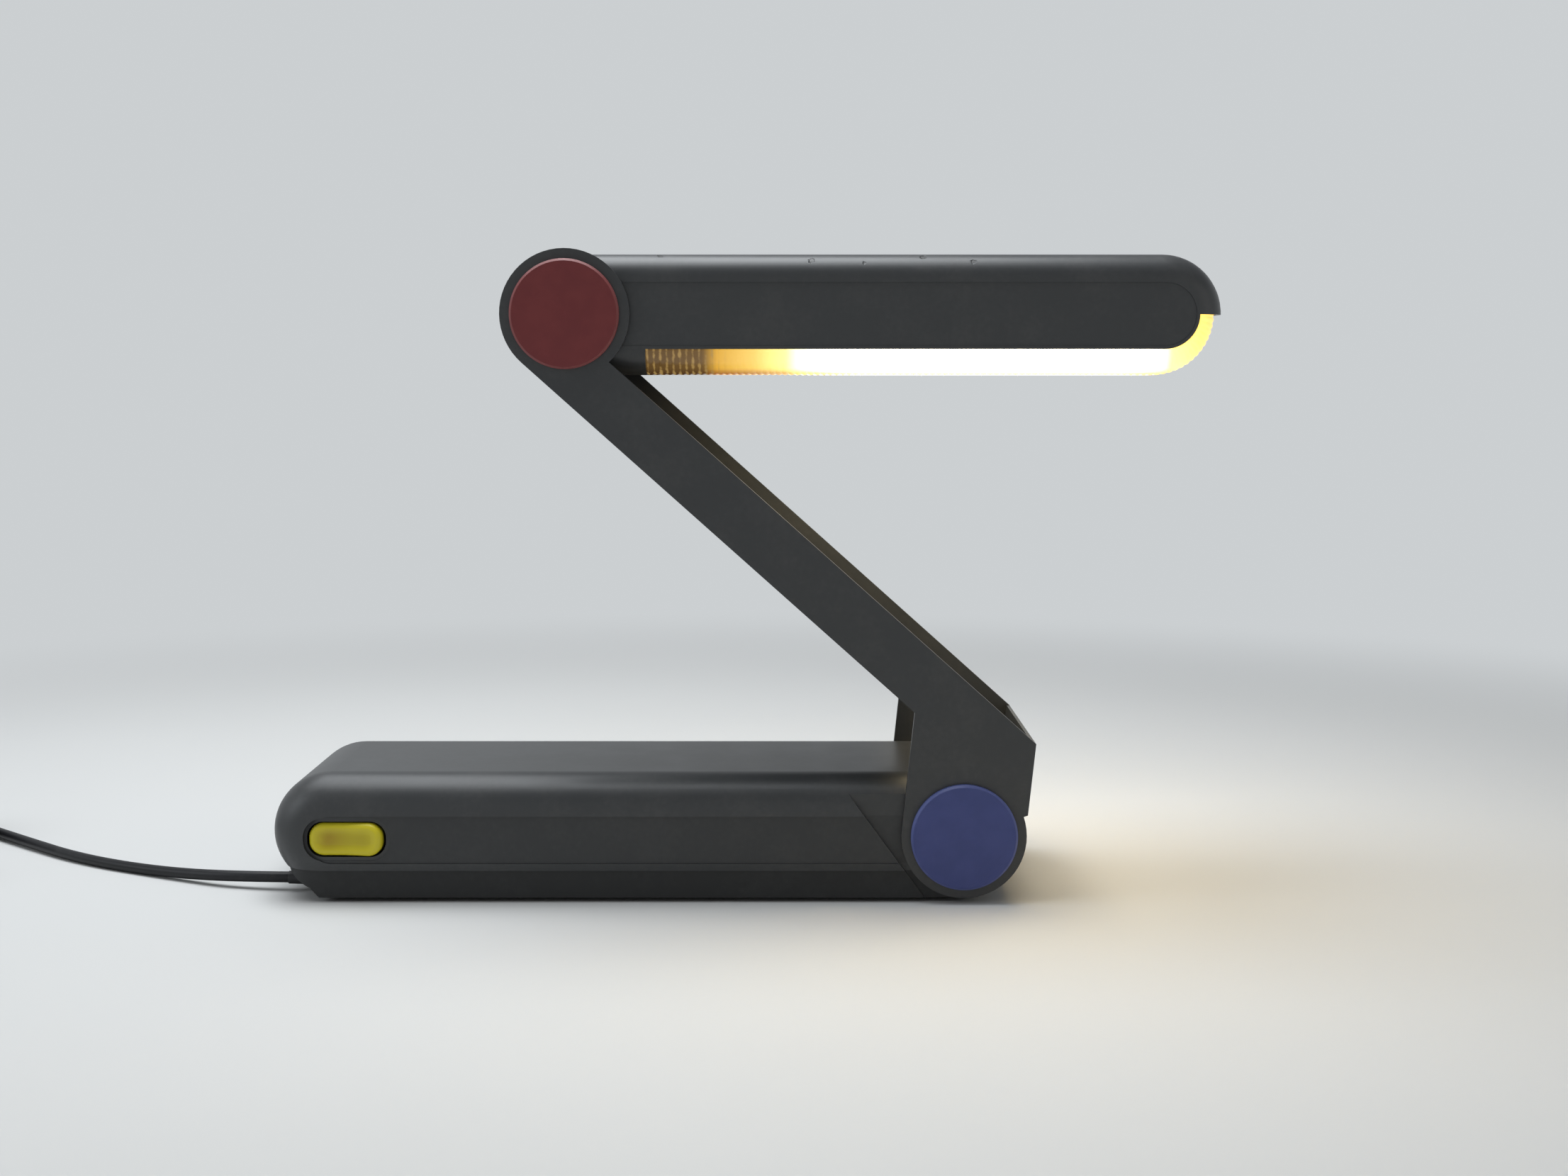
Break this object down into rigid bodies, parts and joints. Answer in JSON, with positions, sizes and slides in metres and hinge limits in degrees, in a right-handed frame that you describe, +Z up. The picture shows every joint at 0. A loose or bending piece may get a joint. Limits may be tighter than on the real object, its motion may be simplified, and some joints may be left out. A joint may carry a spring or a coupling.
{
  "type": "folding desk lamp",
  "caption": "Folding Z-shaped desk lamp: flat base bar with a rocker switch, channel arm on coloured friction hinges and a slim head bar with a glowing ribbed diffuser.",
  "frame": {"origin": "on the table under the centre of the lamp's box in the pictured pose, cord left out", "axes": "+X along the base towards its hinge end, +Y across the lamp away from the switch side, +Z up"},
  "size_m": [0.6683, 0.1587, 0.286],
  "materials": {
    "anthracite": "matte moulded",
    "red_cap": "satin",
    "blue_cap": "satin",
    "yellow_rocker": "satin",
    "well_black": "matte",
    "diffuser": "ribbed translucent",
    "lamp_glass": "white phosphor coat",
    "lamp_white": "matte",
    "reflector_white": "white enamel",
    "steel": "zinc plated",
    "friction_fibre": "fibre",
    "foot_rubber": "matte",
    "brass_pin": "nickel plated",
    "cord_black": "satin",
    "cord_fitting": "satin",
    "iron": "lacquered",
    "copper": "enamelled wire"
  },
  "bodies": {
    "base": {"ballast_plate": "iron", "base_shell": "anthracite", "base_tray": "anthracite", "bolt_lower_front": "steel", "bolt_lower_rear": "steel", "choke_coil": "copper", "choke_core": "iron", "coil_tie": "cord_fitting", "cord_coil": "cord_black", "cord_gland": "cord_fitting", "cord_tail": "cord_black", "foot_left_front": "foot_rubber", "foot_left_rear": "foot_rubber", "foot_right_front": "foot_rubber", "foot_right_rear": "foot_rubber", "mains_cord": "cord_black", "nut_lower_front": "steel", "nut_lower_rear": "steel", "plug_body": "cord_fitting", "plug_pin_a": "brass_pin", "plug_pin_b": "brass_pin", "rocker_pin": "steel", "switch_well": "well_black", "terminal_block": "lamp_white", "tray_screw_left_front": "steel", "tray_screw_left_rear": "steel", "tray_screw_right_front": "steel", "tray_screw_right_rear": "steel", "washer_lower_front": "friction_fibre", "washer_lower_rear": "friction_fibre"},
    "arm": {"arm_channel": "anthracite", "cap_blue_front": "blue_cap", "cap_blue_rear": "blue_cap", "cap_red_front": "red_cap", "cap_red_rear": "red_cap"},
    "head": {"head_shell": "anthracite", "diffuser": "diffuser", "lamp_holder": "lamp_white", "lamp_base": "lamp_white", "lamp_tube": "lamp_glass", "reflector": "reflector_white", "tube_clip": "steel", "bolt_upper_front": "steel", "bolt_upper_rear": "steel", "nut_upper_front": "steel", "nut_upper_rear": "steel", "washer_upper_front": "friction_fibre", "washer_upper_rear": "friction_fibre"},
    "rocker": {"switch_rocker": "yellow_rocker"}
  },
  "joints": [
    {"name": "arm_hinge", "type": "hinge", "parent": "base", "child": "arm", "pos_m": [0.09832, 0, 0.03], "axis": [0, 1, 0], "range_deg": [-41.84, 48.16]},
    {"name": "head_hinge", "type": "hinge", "parent": "arm", "child": "head", "pos_m": [-0.07502, 0, 0.2581], "axis": [0, 1, 0], "range_deg": [-90, 38.8]},
    {"name": "switch_rock", "type": "hinge", "parent": "base", "child": "rocker", "pos_m": [-0.17378, -0.0476, 0.0286], "axis": [0, 0, 1], "range_deg": [0, 10]}
  ]
}
